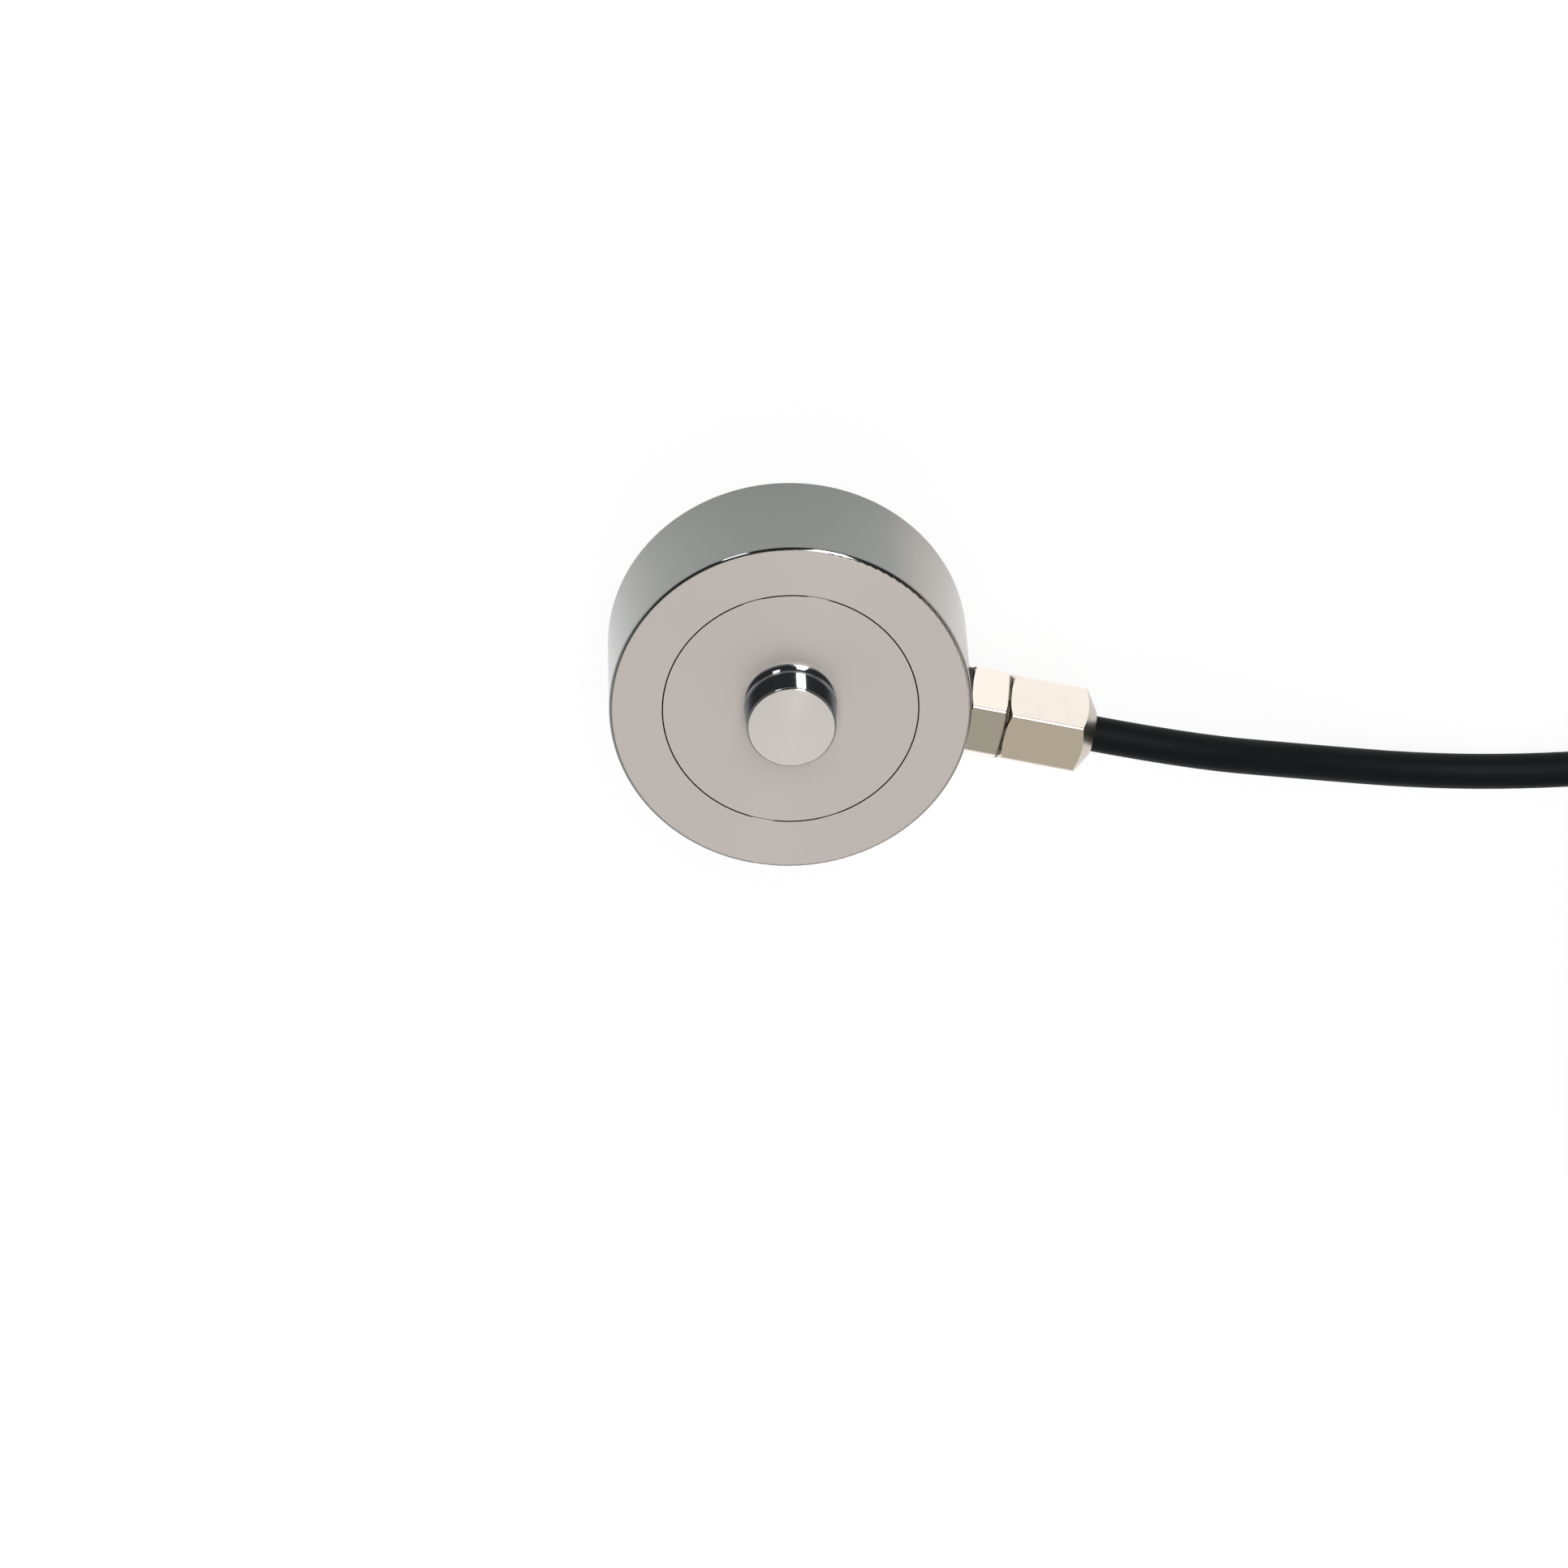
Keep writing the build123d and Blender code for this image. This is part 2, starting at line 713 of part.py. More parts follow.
def make_tie(angle):
    """A strap bent round the coil's section at one angle."""
    outward = Vector(1, 0, 0).rotate(Axis.Z, angle)
    slope = (slope_high - slope_low).normalized()
    along_slope = outward * slope.X + Vector(0, 0, slope.Y)
    off_slope = Vector(0, 0, slope.X) - outward * slope.Y
    middle = (slope_low + slope_high) / 2
    strap_middle = coil_centre + outward * middle.X + Vector(0, 0, middle.Y)
    head_plane = Plane(
        origin=strap_middle + off_slope * (tie_clearance + tie_thickness / 2),
        x_dir=along_slope,
        z_dir=off_slope,
    )
    with BuildPart() as tie:
        tie_start = angle - tie_arc / 2
        revolve(
            tie_outline(tie_start, tie_clearance + tie_thickness),
            axis=coil_axis,
            revolution_arc=tie_arc,
        )
        revolve(
            tie_outline(tie_start, tie_clearance),
            axis=coil_axis,
            revolution_arc=tie_arc,
            mode=Mode.SUBTRACT,
        )
        with BuildSketch(head_plane):
            RectangleRounded(tie_head_length, tie_head_width, radius=tie_thickness)
        extrude(amount=tie_head_height)
        with BuildSketch(head_plane.offset(tie_head_height)):
            Rectangle(tie_thickness * 2, tie_width)
        extrude(amount=tie_tail_length)
    return tie


for number, angle in enumerate(tie_angles, start=1):
    write_piece(make_tie(touch_angle + angle), f"coil_tie_{number}")

# End sleeve: shrunk over the end of the jacket, with the leads coming out of it
sleeve_end_angle = end_angle(sleeve_start + sleeve_length)
with BuildPart() as end_sleeve:
    with BuildSketch(coil_section(touch_angle + sleeve_end_angle)):
        with Locations((end_radius, end_height)):
            Circle(sleeve_diameter / 2)
            Circle(cable_radius + sleeve_bore_clearance, mode=Mode.SUBTRACT)
    revolve(axis=coil_axis, revolution_arc=end_angle(sleeve_start) - sleeve_end_angle)
write_piece(end_sleeve, "end_sleeve")


def lead_points(name):
    """The route of one lead: out of the sleeve, then down and fanned out on the coil's ledge."""
    place = lead_order.index(name) - (len(lead_order) - 1) / 2
    if name == "shield":
        aside, height, radius, halfway = 0, end_height, shield_diameter / 2, 0.55
    else:
        lower = abs(place) > 1
        aside = math.copysign(lead_pitch / 2, place)
        height = end_height + (-lead_pitch / 2 if lower else lead_pitch / 2)
        radius = lead_diameter / 2
        halfway = 0.7 if lower else 0.35
    lying = coil_ledge + radius + lead_clearance
    fan = place * lead_fan - lead_shift
    points = []
    for distance, share in zip(lead_steps, (0, 0, 0, halfway, 1, 1)):
        out = end_radius + aside + (fan - aside) * share
        up = height + (lying - height) * share
        points.append(on_coil(end_angle(jacket_end_distance + distance), out, up))
    return points


def make_lead(name):
    """One lead with its insulation, or the twisted shield."""
    points = lead_points(name)
    diameter = shield_diameter if name == "shield" else lead_diameter
    with BuildPart() as lead:
        with BuildLine() as route:
            FilletPolyline(*points, radius=bend_radii(points))
        with BuildSketch(Plane(origin=points[0], z_dir=points[1] - points[0])):
            Circle(diameter / 2)
        sweep(path=route.line)
    return lead


for name in lead_order:
    write_piece(make_lead(name), f"lead_{name}")

# Tinned tips of the insulated leads
with BuildPart() as lead_tips:
    for name in lead_order:
        if name != "shield":
            points = lead_points(name)
            with BuildSketch(Plane(origin=points[-1], z_dir=points[-1] - points[-2])):
                Circle(tip_diameter / 2)
            extrude(amount=tip_length)
write_piece(lead_tips, "lead_tips")
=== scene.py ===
import math

import bpy
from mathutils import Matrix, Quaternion, Vector


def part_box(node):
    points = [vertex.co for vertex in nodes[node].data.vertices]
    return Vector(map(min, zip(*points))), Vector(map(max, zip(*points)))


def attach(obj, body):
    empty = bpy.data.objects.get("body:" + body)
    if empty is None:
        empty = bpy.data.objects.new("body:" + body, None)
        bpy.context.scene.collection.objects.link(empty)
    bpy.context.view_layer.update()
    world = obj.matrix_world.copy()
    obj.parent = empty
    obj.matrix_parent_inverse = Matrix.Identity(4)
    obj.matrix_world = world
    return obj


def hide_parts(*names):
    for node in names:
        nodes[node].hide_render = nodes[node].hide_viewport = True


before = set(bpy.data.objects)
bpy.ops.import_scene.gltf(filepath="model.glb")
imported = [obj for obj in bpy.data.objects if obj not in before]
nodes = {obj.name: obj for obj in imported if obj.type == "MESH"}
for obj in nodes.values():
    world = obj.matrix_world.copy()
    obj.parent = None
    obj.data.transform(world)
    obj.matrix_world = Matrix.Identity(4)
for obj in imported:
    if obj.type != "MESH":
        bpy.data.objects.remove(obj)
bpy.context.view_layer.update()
scene = bpy.context.scene
scene.view_settings.view_transform = "Standard"
MM = 0.001


def direction(azimuth, elevation):
    """A unit vector: azimuth in degrees from +X towards +Y, elevation above the bench."""
    turn, rise = math.radians(azimuth), math.radians(elevation)
    return Vector(
        (math.cos(turn) * math.cos(rise), math.sin(turn) * math.cos(rise), math.sin(rise))
    )


# Camera: the photograph's viewing angle, rolled so that its up is the picture's up
camera_azimuth = 105.28
camera_elevation = 61.12
camera_roll = math.radians(177.16)
camera_target = Vector((0.594, -5.41, 14.96)) * MM
camera_distance = 743.23 * MM

back = direction(camera_azimuth, camera_elevation)
level = Vector((0, 0, 1)).cross(back).normalized()
rise = back.cross(level)
right = level * math.cos(camera_roll) + rise * math.sin(camera_roll)
up = back.cross(right)
camera = bpy.data.objects.new("camera", bpy.data.cameras.new("camera"))
scene.collection.objects.link(camera)
camera.data.sensor_width = 36
camera.data.lens = 206.7
camera.data.clip_start = 0.01
camera.data.clip_end = 20
camera.rotation_mode = "QUATERNION"
camera.location = camera_target + back * camera_distance
turned = camera.matrix_world.to_3x3()
for axis, column in enumerate((right, up, back)):
    for row in range(3):
        turned[row][axis] = column[row]
camera.rotation_quaternion = turned.to_quaternion()
scene.camera = camera

# Cable: one smooth line from the gland's mouth, down to the bench, round the coil and onto its top
cable_diameter = 3.0
port_height = 6.2
cable_joint_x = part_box("cable_inner")[1].x / MM
cable_route = [
    (cable_joint_x, 0.0, port_height),
    (34.0, 0.0, port_height),
    (44.0, -0.3, 3.6),
    (56.0, 0.0, 1.5),
    (67.0, 2.5, 1.5),
]
coil_touch = Vector((89.5, 10.5, 2.1))
coil_outer_turn = 22.5
coil_inner_turn = 13.5
coil_layers = 4
turns_a_layer = 4
climb_start = 3.7
coil_stub = 14.0
points_a_turn = 16
end_radius = 18.3
end_height = 14.55
end_leaves_angle = 30.0
end_starts_angle = -22.0
jacket_end_distance = 7.0

entry = (coil_touch - Vector(cable_route[-1])).normalized()
entry_angle = math.degrees(math.atan2(entry.y, entry.x))
entry_left = Vector((-entry.y, entry.x, 0)).normalized()
coil_centre = Vector((coil_touch.x, coil_touch.y, 0)) - entry_left * coil_outer_turn


def smooth(share):
    """A soft step from 0 to 1."""
    share = min(max(share, 0.0), 1.0)
    return share * share * (3 - 2 * share)


def coil_point(turn, radius, height):
    """A control point of the coil, after so many turns clockwise from where the cable meets it."""
    angle = math.radians(entry_angle + 90 - 360 * turn)
    # The curve runs a little inside its control points, by the share that divides the radius here
    reach = radius / (0.75 + 0.25 * math.cos(2 * math.pi / points_a_turn))
    return coil_centre + Vector((math.cos(angle) * reach, math.sin(angle) * reach, height))


route = [Vector(point) for point in cable_route]
route.append(coil_touch - entry * coil_stub)
end_angle = end_starts_angle - math.degrees(jacket_end_distance / end_radius)
top_turns = coil_layers * turns_a_layer
for step in range(int((top_turns + 1 - end_angle / 360) * points_a_turn) + 1):
    turn = step / points_a_turn
    layer = int(turn // turns_a_layer)
    along = turn - layer * turns_a_layer
    if layer == coil_layers:
        past = (along - 1) * 360 + end_leaves_angle
        inward = smooth(past / (end_leaves_angle - end_starts_angle))
        radius = coil_outer_turn + (end_radius - coil_outer_turn) * inward
        height = coil_touch.z + cable_diameter * layer
        height += (end_height - height) * inward
        route.append(coil_point(turn, radius, height))
        continue
    if layer % 2 == 0:
        radius = coil_outer_turn - cable_diameter * min(along, turns_a_layer - 1)
    else:
        radius = coil_inner_turn + cable_diameter * max(along - 1, 0)
    climb = smooth((along - climb_start) / (turns_a_layer - climb_start))
    route.append(coil_point(turn, radius, coil_touch.z + cable_diameter * (layer + climb)))
jacket_end = math.radians(entry_angle + 90 + end_angle)
route.append(
    coil_centre
    + Vector((math.cos(jacket_end), math.sin(jacket_end), 0)) * end_radius
    + Vector((0, 0, end_height))
)

curve = bpy.data.curves.new("signal_cable", "CURVE")
curve.dimensions = "3D"
curve.bevel_depth = 1.0
curve.bevel_resolution = 6
curve.resolution_u = 6
curve.use_fill_caps = True
line = curve.splines.new("NURBS")
line.points.add(len(route) - 1)
for point, place in zip(line.points, route):
    point.co = (*(place * MM), 1)
    point.radius = cable_diameter / 2 * MM
line.order_u = 3
line.use_endpoint_u = True
signal_cable = bpy.data.objects.new("signal_cable", curve)
scene.collection.objects.link(signal_cable)
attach(signal_cable, "root")
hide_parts("cable", "cable_coil")
on_cable = ["coil_tie_1", "coil_tie_2", "end_sleeve", "lead_tips"]
on_cable += [name for name in nodes if name.startswith("lead_") and name != "lead_tips"]

# Bench: a hair below the part, so that the two don't lie in one plane
bench_reach = 2.0
bench_gap = 0.05 * MM
bench = bpy.data.objects.new("bench", bpy.data.meshes.new("bench"))
bench_corners = [(bench_reach * x, bench_reach * y, 0) for x, y in ((-1, -1), (1, -1), (1, 1), (-1, 1))]
bench.data.from_pydata(bench_corners, [], [(0, 1, 2, 3)])
bench.location.z = -bench_gap
scene.collection.objects.link(bench)


class Nodes:
    """The nodes of one material or world, under construction."""

    def __init__(self, tree):
        self.tree = tree

    def node(self, kind, **settings):
        made = self.tree.nodes.new(kind)
        for name, value in settings.items():
            setattr(made, name, value)
        return made

    def link(self, start, end):
        self.tree.links.new(start, end)

    def feed(self, value, socket):
        """Set a socket to a number or a colour, or link it to another node's output."""
        if isinstance(value, bpy.types.NodeSocket):
            self.link(value, socket)
        elif isinstance(value, tuple):
            socket.default_value = (*value, 1)
        else:
            socket.default_value = value

    def math(self, operation, *values):
        """One sum, on numbers or on other nodes' outputs."""
        made = self.node("ShaderNodeMath", operation=operation)
        for socket, value in zip(made.inputs, values):
            self.feed(value, socket)
        return made.outputs[0]

    def split(self, vector):
        """The three parts of a vector."""
        made = self.node("ShaderNodeSeparateXYZ")
        self.link(vector, made.inputs[0])
        return tuple(made.outputs)

    def unit(self, x, y, z):
        """The direction of a vector, from its three parts."""
        whole = self.node("ShaderNodeCombineXYZ")
        for socket, value in zip(whole.inputs, (x, y, z)):
            self.feed(value, socket)
        made = self.node("ShaderNodeVectorMath", operation="NORMALIZE")
        self.link(whole.outputs[0], made.inputs[0])
        return made.outputs[0]

    def spread(self, value, low, high):
        """Stretch a number from 0 to 1 over a range."""
        made = self.node("ShaderNodeMapRange")
        made.inputs["To Min"].default_value = low
        made.inputs["To Max"].default_value = high
        self.link(value, made.inputs["Value"])
        return made.outputs["Result"]

    def step(self, value, low, high):
        """0 below a number, 1 above another, soft between them."""
        made = self.node("ShaderNodeMapRange", interpolation_type="SMOOTHSTEP")
        made.inputs["From Min"].default_value = low
        made.inputs["From Max"].default_value = high
        self.link(value, made.inputs["Value"])
        return made.outputs["Result"]

    def mix(self, kind, first, share, start, end):
        """A Mix node of one data type, whose first socket of that type has a number of its own."""
        made = self.node("ShaderNodeMix", data_type=kind)
        self.link(share, made.inputs[0])
        self.feed(start, made.inputs[first])
        self.feed(end, made.inputs[first + 1])
        return made.outputs[first // 2 - 1]

    def between(self, share, start, end):
        """A number between two."""
        return self.mix("FLOAT", 2, share, start, end)

    def turn(self, share, start, end):
        """A vector between two."""
        return self.mix("VECTOR", 4, share, start, end)

    def blend(self, share, start, end):
        """A colour between two."""
        return self.mix("RGBA", 6, share, start, end)


class Finish(Nodes):
    """A node material under construction, with its Principled shader."""

    def __init__(self, name, colour, **values):
        self.material = bpy.data.materials.new(name)
        self.material.use_nodes = True
        super().__init__(self.material.node_tree)
        self.surface = self.tree.nodes["Principled BSDF"]
        self.surface.inputs["Base Color"].default_value = (*colour, 1)
        for socket, value in values.items():
            self.surface.inputs[socket.replace("_", " ")].default_value = value

    def place(self):
        """The object's own coordinates, in metres."""
        return self.node("ShaderNodeTexCoord").outputs["Object"]

    def normal(self, kind):
        """The surface's normal: Normal is the mesh's smooth one, True Normal is its flat faces' own."""
        return self.node("ShaderNodeNewGeometry").outputs[kind]

    def noise(self, scale, detail):
        """Noise through the object's coordinates, from 0 to 1."""
        made = self.node("ShaderNodeTexNoise")
        made.inputs["Scale"].default_value = scale
        made.inputs["Detail"].default_value = detail
        made.inputs["Roughness"].default_value = 0.55
        self.link(self.place(), made.inputs["Vector"])
        return made.outputs["Fac"]

    def lines(self, along, scale):
        """Noise along one number, for turned grooves."""
        made = self.node("ShaderNodeTexNoise", noise_dimensions="1D")
        made.inputs["Scale"].default_value = scale
        made.inputs["Detail"].default_value = 4.0
        self.link(along, made.inputs["W"])
        return made.outputs["Fac"]

    def colour(self, value):
        self.link(value, self.surface.inputs["Base Color"])

    def metallic(self, value):
        self.link(value, self.surface.inputs["Metallic"])

    def roughness(self, value):
        self.link(value, self.surface.inputs["Roughness"])

    def bump(self, height, distance, strength, normal=None):
        made = self.node("ShaderNodeBump")
        made.inputs["Strength"].default_value = strength
        made.inputs["Distance"].default_value = distance
        self.link(height, made.inputs["Height"])
        if normal:
            self.link(normal, made.inputs["Normal"])
        self.link(made.outputs["Normal"], self.surface.inputs["Normal"])


def dress(finish, *names):
    """Give CAD nodes or pieces a finished material."""
    for name in names:
        piece = bpy.data.objects[name] if name in bpy.data.objects else nodes[name]
        piece.data.materials.clear()
        piece.data.materials.append(finish.material)


# Turned stainless steel: satin level faces with concentric marks, polished sides with fine rings.
# Painted light and shade: the outer wall is darker on the left and lighter on the right, the seam and
# the button are painted dark, and the button's crown is painted lighter than the face.
# A pair of numbers is where one look ends and where the next one is full: along the radius or the
# height, along X (the painted left-to-right shade), away from the seam, or by how far a face looks up
# (level_faces).
rim_centre_radius = 14.65 * MM
rim_centre_height = 11.65 * MM
rim_start = 0.01 * MM
base_edge_top = 0.35 * MM
seam_radius = 10.6 * MM
seam_shade = (0.2 * MM, 0.3 * MM)
painted_shade_across = (4.5 * MM, 9.0 * MM)
level_faces = (0.9, 0.999)
crown_start = (14.8 * MM, 15.1 * MM)
collar_start = (14.9 * MM, 15.0 * MM)
root_end = (4.4 * MM, 4.6 * MM)
root_start = (3.74 * MM, 3.8 * MM)
# Painted shade: these set how far round the root the polish and the dark button tone reach, widest
# towards the camera's side
polished_edge = (-0.04 * MM, 0.12 * MM)
polished_least = 3.72 * MM
polished_growth = 0.6 * MM
polished_most = 4.3 * MM
polished_painted_shade_azimuth = 105.0
wall_radius = 3.79 * MM
wall_bottom = 12.56 * MM
wall_top = 15.05 * MM
wall_lean = 52.0
turning_depth = 0.0003 * MM
face_tone = (0.502, 0.459, 0.426)
dull_share = 0.97
dull_face_tone = tuple(c * dull_share for c in face_tone)
# Painted light: the button's crown is a lighter tone than the face
crown_painted_light_tone = (0.574, 0.54, 0.497)
# Painted shade and painted reflection: the outer wall's tone is darker on its left and lighter on its
# right
left_painted_shade_tone = (0.235, 0.243, 0.232)
right_painted_light_tone = (0.33, 0.3, 0.275)
# Painted shade: the seam's chamfer is dark, so that it shows no glints
seam_painted_shade_tone = (0.06, 0.06, 0.06)
# Painted shade: the button's wall and the front of its root take a dark bluish tone, a painted dark
# reflection
button_painted_shade_tone = (0.3, 0.32, 0.34)

steel = Finish("body_steel", face_tone, Metallic=1.0, Roughness=0.3, Anisotropic=0.6)
steel.surface.inputs["Anisotropic Rotation"].default_value = 0.25
tangent = steel.node("ShaderNodeTangent", direction_type="RADIAL", axis="Z")
steel.link(tangent.outputs[0], steel.surface.inputs["Tangent"])
across, forward, height = steel.split(steel.place())
square = steel.math("MULTIPLY_ADD", across, across, steel.math("MULTIPLY", forward, forward))
radius = steel.math("SQRT", square)

# The button's root is polished round its side towards the camera's side, and satin elsewhere.
# Painted shade: on that side the root also takes the button's dark tone, and elsewhere the face's tone
polished = direction(polished_painted_shade_azimuth, 0)
facing = steel.math("MULTIPLY_ADD", across, polished.x, steel.math("MULTIPLY", forward, polished.y))
facing = steel.math("DIVIDE", facing, radius)
reach = steel.math("MULTIPLY_ADD", facing, polished_growth, polished_least)
past = steel.math("SUBTRACT", radius, steel.math("MINIMUM", reach, polished_most))
satin_root_without_painted_shade = steel.math("MULTIPLY", steel.step(past, *polished_edge), steel.step(radius, *root_start))
satin_root_without_painted_shade = steel.math("MULTIPLY", satin_root_without_painted_shade, steel.math("LESS_THAN", radius, root_end[1]))
satin = steel.step(steel.split(steel.normal("True Normal"))[2], *level_faces)
satin = steel.math("MAXIMUM", satin, satin_root_without_painted_shade)

face_lines = steel.lines(radius, 9000)
side_lines = steel.lines(height, 12000)
level = steel.blend(steel.noise(90, 2), dull_face_tone, face_tone)
# Painted light: the button's crown is lighter than the face
level = steel.blend(steel.step(height, *crown_start), level, crown_painted_light_tone)
on_body = steel.math("MAXIMUM", steel.step(radius, *root_end), steel.step(height, *collar_start))
from_seam = steel.math("ABSOLUTE", steel.math("SUBTRACT", radius, seam_radius))
# Painted shade and painted reflection: the outer wall is darker on its left and lighter on its right
side = steel.blend(steel.step(across, *painted_shade_across), left_painted_shade_tone, right_painted_light_tone)
# Painted shade: dark along the seam between the housing and the sensing element
side = steel.blend(steel.step(from_seam, *seam_shade), seam_painted_shade_tone, side)
# Painted shade: the button takes its dark tone, a painted dark reflection
side = steel.blend(on_body, button_painted_shade_tone, side)
steel.colour(steel.blend(satin, side, level))
steel.metallic(steel.between(satin, 1.0, 0.28))
steel.roughness(steel.between(satin, 0.09, steel.spread(face_lines, 0.28, 0.35)))

# The outer wall and its rounded rim take their true normals, and the rest keeps the mesh's
out = steel.math("MAXIMUM", steel.math("SUBTRACT", radius, rim_centre_radius), 0.0)
over = steel.math("MAXIMUM", steel.math("SUBTRACT", height, rim_centre_height), 0.0)
reach = steel.math("DIVIDE", out, radius)
rounded = steel.unit(steel.math("MULTIPLY", across, reach), steel.math("MULTIPLY", forward, reach), over)
on_rim = steel.math("GREATER_THAN", radius, rim_centre_radius + rim_start)
on_rim = steel.math("MULTIPLY", on_rim, steel.math("GREATER_THAN", height, base_edge_top))
normal = steel.turn(on_rim, steel.normal("Normal"), rounded)

# The button's wall is shaded as if it leaned back, so that it shows the strip of light
leaning = steel.unit(across, forward, steel.math("MULTIPLY", radius, math.tan(math.radians(wall_lean))))
on_wall = steel.math("LESS_THAN", radius, wall_radius)
on_wall = steel.math("MULTIPLY", on_wall, steel.math("GREATER_THAN", height, wall_bottom))
on_wall = steel.math("MULTIPLY", on_wall, steel.math("LESS_THAN", height, wall_top))
normal = steel.turn(on_wall, normal, leaning)
steel.bump(steel.between(satin, side_lines, face_lines), turning_depth, 0.5, normal)
dress(steel, "housing", "sensing_element", "base_cover")

# Nickel plate on brass: satin on the nut's cone and softer along the edges between the flats.
# Painted shade: the flats that lie level are darker and browner, the cone is darker, and the groove
# between the hexagons is painted dark
nut_start = (18.1 * MM, 18.2 * MM)
groove_middle = 18.12 * MM
groove_shade = (0.08 * MM, 0.2 * MM)
plate_tone = (0.93, 0.845, 0.765)
# Painted shade: the flats that lie level are darker and browner than the plate
gland_flat_painted_shade_tone = (0.56, 0.52, 0.41)
nut_flat_painted_shade_tone = (0.69, 0.605, 0.46)
# Painted shade: the cone is satin and also a darker tone than the plate
cone_painted_shade_tone = (0.59, 0.52, 0.45)
# Painted shade: dark in the groove between the two hexagons
groove_painted_shade_tone = (0.2, 0.18, 0.14)

nickel = Finish("gland_metal", plate_tone, Metallic=1.0, Roughness=0.12)
along = nickel.split(nickel.place())[0]
outward, _, upward = nickel.split(nickel.normal("True Normal"))
on_cone = nickel.step(outward, 0.3, 0.5)
on_level = nickel.step(upward, 0.97, 0.99)
on_edge = nickel.math("SUBTRACT", nickel.step(upward, 0.56, 0.66), on_level)
from_groove = nickel.math("ABSOLUTE", nickel.math("SUBTRACT", along, groove_middle))
# Painted shade: darker, browner tones on the flats that lie level
level = nickel.blend(nickel.step(along, *nut_start), gland_flat_painted_shade_tone, nut_flat_painted_shade_tone)
plate = nickel.blend(on_level, plate_tone, level)
# Painted shade: a darker tone on the satin cone
plate = nickel.blend(on_cone, plate, cone_painted_shade_tone)
# Painted shade: dark down in the groove between the hexagons
nickel.colour(nickel.blend(nickel.step(from_groove, *groove_shade), groove_painted_shade_tone, plate))
gloss = nickel.spread(nickel.noise(700, 3), 0.08, 0.16)
gloss = nickel.between(on_edge, gloss, 0.4)
nickel.roughness(nickel.between(on_cone, gloss, 0.26))
dress(nickel, "gland_body", "cap_nut", "clamp_ring")

# Rubber, plastics, board and wires: each varies a little in colour, gloss or surface
rubber = Finish("black_rubber", (0.012, 0.012, 0.013), Roughness=0.55)
rubber.colour(rubber.blend(rubber.noise(900, 3), (0.009, 0.009, 0.01), (0.016, 0.016, 0.017)))
rubber.roughness(rubber.spread(rubber.noise(600, 2), 0.48, 0.62))
rubber.bump(rubber.noise(4000, 2), 0.00001, 0.3)
dress(rubber, "port_seal", "cable_grommet", "base_gasket")

jacket = Finish("cable_jacket", (0.003, 0.005, 0.005), Roughness=0.5)
jacket.surface.inputs["Specular IOR Level"].default_value = 0.09
jacket.colour(jacket.blend(jacket.noise(350, 3), (0.0025, 0.0042, 0.0042), (0.004, 0.006, 0.006)))
jacket.roughness(jacket.spread(jacket.noise(500, 2), 0.44, 0.56))
jacket.bump(jacket.noise(1500, 3), 0.00001, 0.25)
dress(jacket, "signal_cable")

board = Finish("circuit_board", (0.02, 0.16, 0.06), Roughness=0.4)
board.colour(board.blend(board.noise(900, 2), (0.015, 0.13, 0.05), (0.03, 0.2, 0.08)))
dress(board, "terminal_board")

chip = Finish("chip_ceramic", (0.02, 0.02, 0.022), Roughness=0.35)
chip.colour(chip.blend(chip.noise(2500, 2), (0.015, 0.015, 0.017), (0.03, 0.03, 0.032)))
dress(chip, "trim_resistors")

tinned = Finish("tinned_copper", (0.75, 0.74, 0.72), Metallic=1.0, Roughness=0.3)
tinned.colour(tinned.blend(tinned.noise(1500, 3), (0.7, 0.69, 0.66), (0.8, 0.79, 0.77)))
tinned.roughness(tinned.spread(tinned.noise(3000, 3), 0.2, 0.4))
dress(tinned, "gauge_wires", "lead_tips", "lead_shield")

film = Finish("gauge_film", (0.55, 0.28, 0.08), Roughness=0.35)
film.colour(film.blend(film.noise(1200, 2), (0.5, 0.25, 0.07), (0.6, 0.32, 0.1)))
dress(film, "strain_gauge_1", "strain_gauge_2", "strain_gauge_3", "strain_gauge_4")

nylon = Finish("tie_nylon", (0.03, 0.03, 0.032), Roughness=0.45)
nylon.colour(nylon.blend(nylon.noise(500, 3), (0.024, 0.024, 0.026), (0.037, 0.037, 0.039)))
nylon.roughness(nylon.spread(nylon.noise(700, 2), 0.38, 0.52))
nylon.bump(nylon.noise(2500, 2), 0.00001, 0.3)
dress(nylon, "coil_tie_1", "coil_tie_2")

sleeve = Finish("shrink_sleeve", (0.02, 0.02, 0.02), Roughness=0.38)
sleeve.colour(sleeve.blend(sleeve.noise(400, 3), (0.016, 0.016, 0.016), (0.026, 0.026, 0.026)))
sleeve.roughness(sleeve.spread(sleeve.noise(600, 2), 0.32, 0.46))
sleeve.bump(sleeve.noise(900, 3), 0.00002, 0.4)
dress(sleeve, "end_sleeve")

wire_colours = {
    "red": (0.55, 0.02, 0.015),
    "black": (0.015, 0.015, 0.016),
    "green": (0.02, 0.25, 0.06),
    "white": (0.8, 0.8, 0.77),
}
for name, colour in wire_colours.items():
    wire = Finish(f"wire_{name}", colour, Roughness=0.35)
    pale = tuple(min(c * 1.15 + 0.004, 1) for c in colour)
    wire.colour(wire.blend(wire.noise(1800, 2), colour, pale))
    wire.bump(wire.noise(2500, 2), 0.000006, 0.3)
    dress(wire, f"core_{name}", f"lead_{name}")

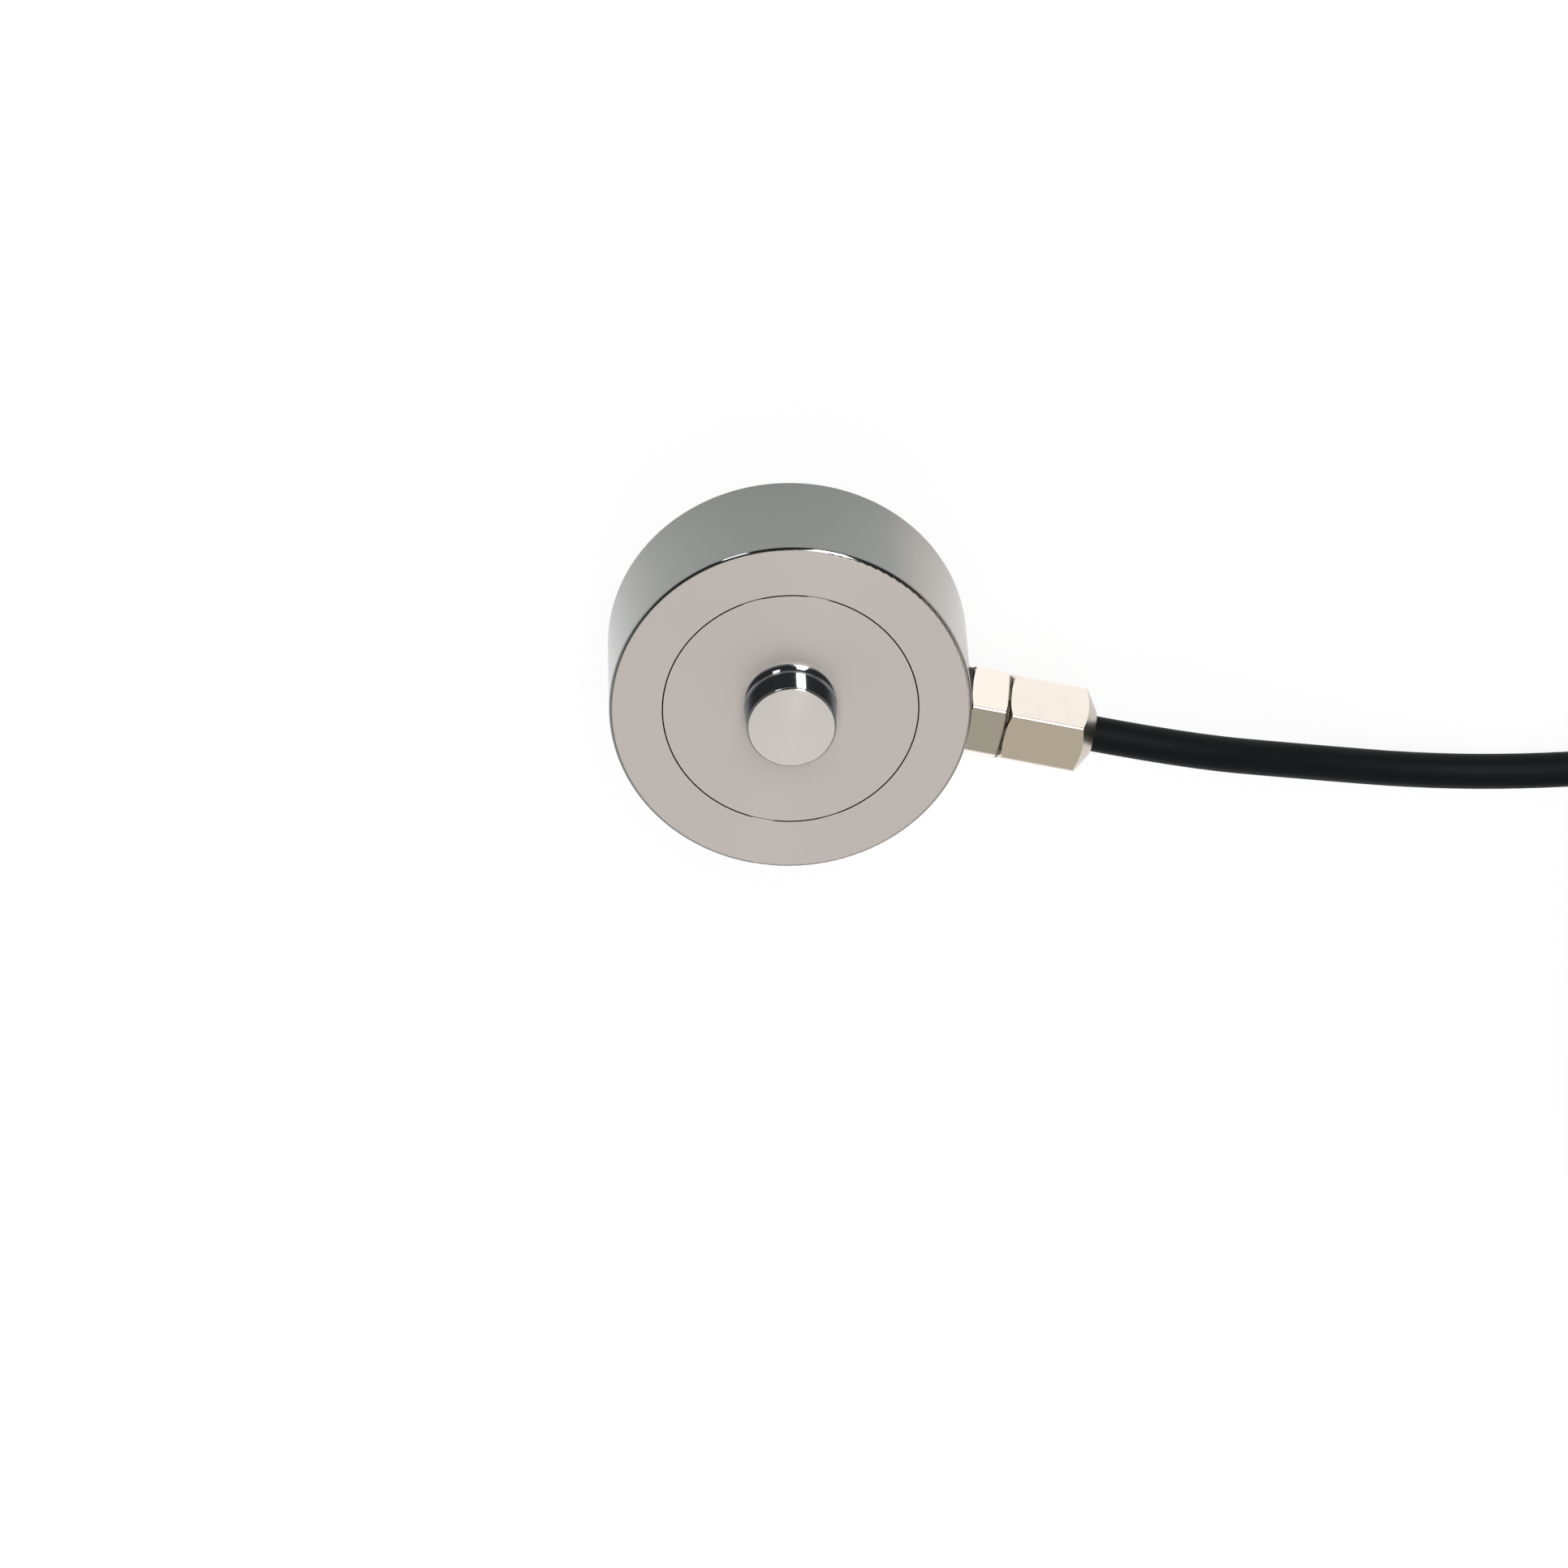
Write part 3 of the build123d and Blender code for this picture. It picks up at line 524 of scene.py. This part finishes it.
# The bench's material: nearly white to the camera and in reflections, and it keeps the object's shadow
seen_share = 0.92
shiny_share = 0.45
shiny_strength = 1.1
floor = Finish("bench", (0.92, 0.92, 0.92), Roughness=0.9)
floor.colour(floor.blend(floor.noise(4, 2), (0.91, 0.91, 0.91), (0.93, 0.93, 0.93)))
path = floor.node("ShaderNodeLightPath").outputs
shiny = floor.math("MAXIMUM", path["Is Glossy Ray"], path["Is Transmission Ray"])
seen = floor.math("MULTIPLY", path["Is Camera Ray"], seen_share)
seen = floor.math("MAXIMUM", seen, floor.math("MULTIPLY", shiny, shiny_share))
white = floor.node("ShaderNodeEmission")
white.inputs["Color"].default_value = (1, 1, 1, 1)
floor.link(floor.spread(shiny, 1.0, shiny_strength), white.inputs["Strength"])
mixed = floor.node("ShaderNodeMixShader")
floor.link(seen, mixed.inputs[0])
floor.link(floor.surface.outputs[0], mixed.inputs[1])
floor.link(white.outputs[0], mixed.inputs[2])
floor.link(mixed.outputs[0], floor.tree.nodes["Material Output"].inputs["Surface"])
bench.data.materials.append(floor.material)

# World: a light tent that is open and dark on the side that the photographer looks in from.
# A shade stands for a direction: -1 is away from the photographer along the bench, 1 is towards them.
tent_shades = [
    (-1.0, 0.7),
    (-0.7, 0.63),
    (-0.48, 0.62),
    (-0.33, 0.57),
    (-0.2, 0.38),
    (-0.1, 0.24),
    (0.0, 0.14),
    (0.12, 0.08),
    (0.25, 0.06),
    (1.0, 0.06),
]
wall_shade = (0.85, 0.85, 0.85)
wall_height = (math.sin(math.radians(6)), math.sin(math.radians(16)))
wall_opening = (0.2, 0.6)
world = bpy.data.worlds.new("studio")
scene.world = world
world.use_nodes = True
tent = Nodes(world.node_tree)
where = tent.node("ShaderNodeTexCoord").outputs["Generated"]
toward = tent.node("ShaderNodeVectorMath", operation="DOT_PRODUCT")
toward.inputs[1].default_value = direction(camera_azimuth, 0)
tent.link(where, toward.inputs[0])
toward = toward.outputs["Value"]
shades = tent.node("ShaderNodeValToRGB")
tent.link(tent.math("MULTIPLY_ADD", toward, 0.5, 0.5), shades.inputs[0])
ramp = shades.color_ramp
while len(ramp.elements) < len(tent_shades):
    ramp.elements.new(0.5)
for element, (reach, grey) in zip(ramp.elements, tent_shades):
    element.position = (reach + 1) / 2
    element.color = (grey, grey, grey, 1)
above = tent.step(tent.split(where)[2], *wall_height)
roof = tent.math("MAXIMUM", above, tent.step(toward, *wall_opening))
light = tent.blend(roof, wall_shade, shades.outputs[0])
camera_ray = tent.node("ShaderNodeLightPath").outputs["Is Camera Ray"]
shown = tent.blend(camera_ray, light, (1.0, 1.0, 1.0))
tent.link(shown, tent.tree.nodes["Background"].inputs["Color"])


def lamp(name, azimuth, elevation, distance, width, height, radiance, turn=0, hidden=""):
    """A soft rectangular lamp that faces the object, hidden from glossy or diffuse rays."""
    light = bpy.data.lights.new(name, "AREA")
    light.shape = "RECTANGLE"
    light.size = width
    light.size_y = height
    light.energy = radiance * math.pi * width * height
    made = bpy.data.objects.new(name, light)
    scene.collection.objects.link(made)
    facing = direction(azimuth, elevation)
    made.location = facing * distance
    made.rotation_mode = "QUATERNION"
    spin = Quaternion((0, 0, 1), math.radians(turn))
    made.rotation_quaternion = facing.to_track_quat("Z", "Y") @ spin
    made.visible_glossy = hidden != "glossy"
    made.visible_diffuse = hidden != "diffuse"


# The strips are seen in the polished metal, and the soft lamps light everything else
lamp("soft_right", 80.5, 55, 1.0, 0.26, 0.8, 3.0, hidden="glossy")
lamp("strip_right", 78.7, 49.4, 1.01, 0.24, 0.96, 9.0, turn=8.65, hidden="diffuse")
lamp("strip_left", 128, 17, 1.0, 0.2, 0.42, 6.0, hidden="diffuse")
lamp("soft_back", 285, 58, 1.2, 0.8, 0.8, 1.2, hidden="glossy")
lamp("soft_front", 105, 50, 1.2, 0.8, 0.8, 1.6, hidden="glossy")
lamp("soft_top", 105, 84, 1.2, 0.6, 0.6, 5.9, hidden="glossy")
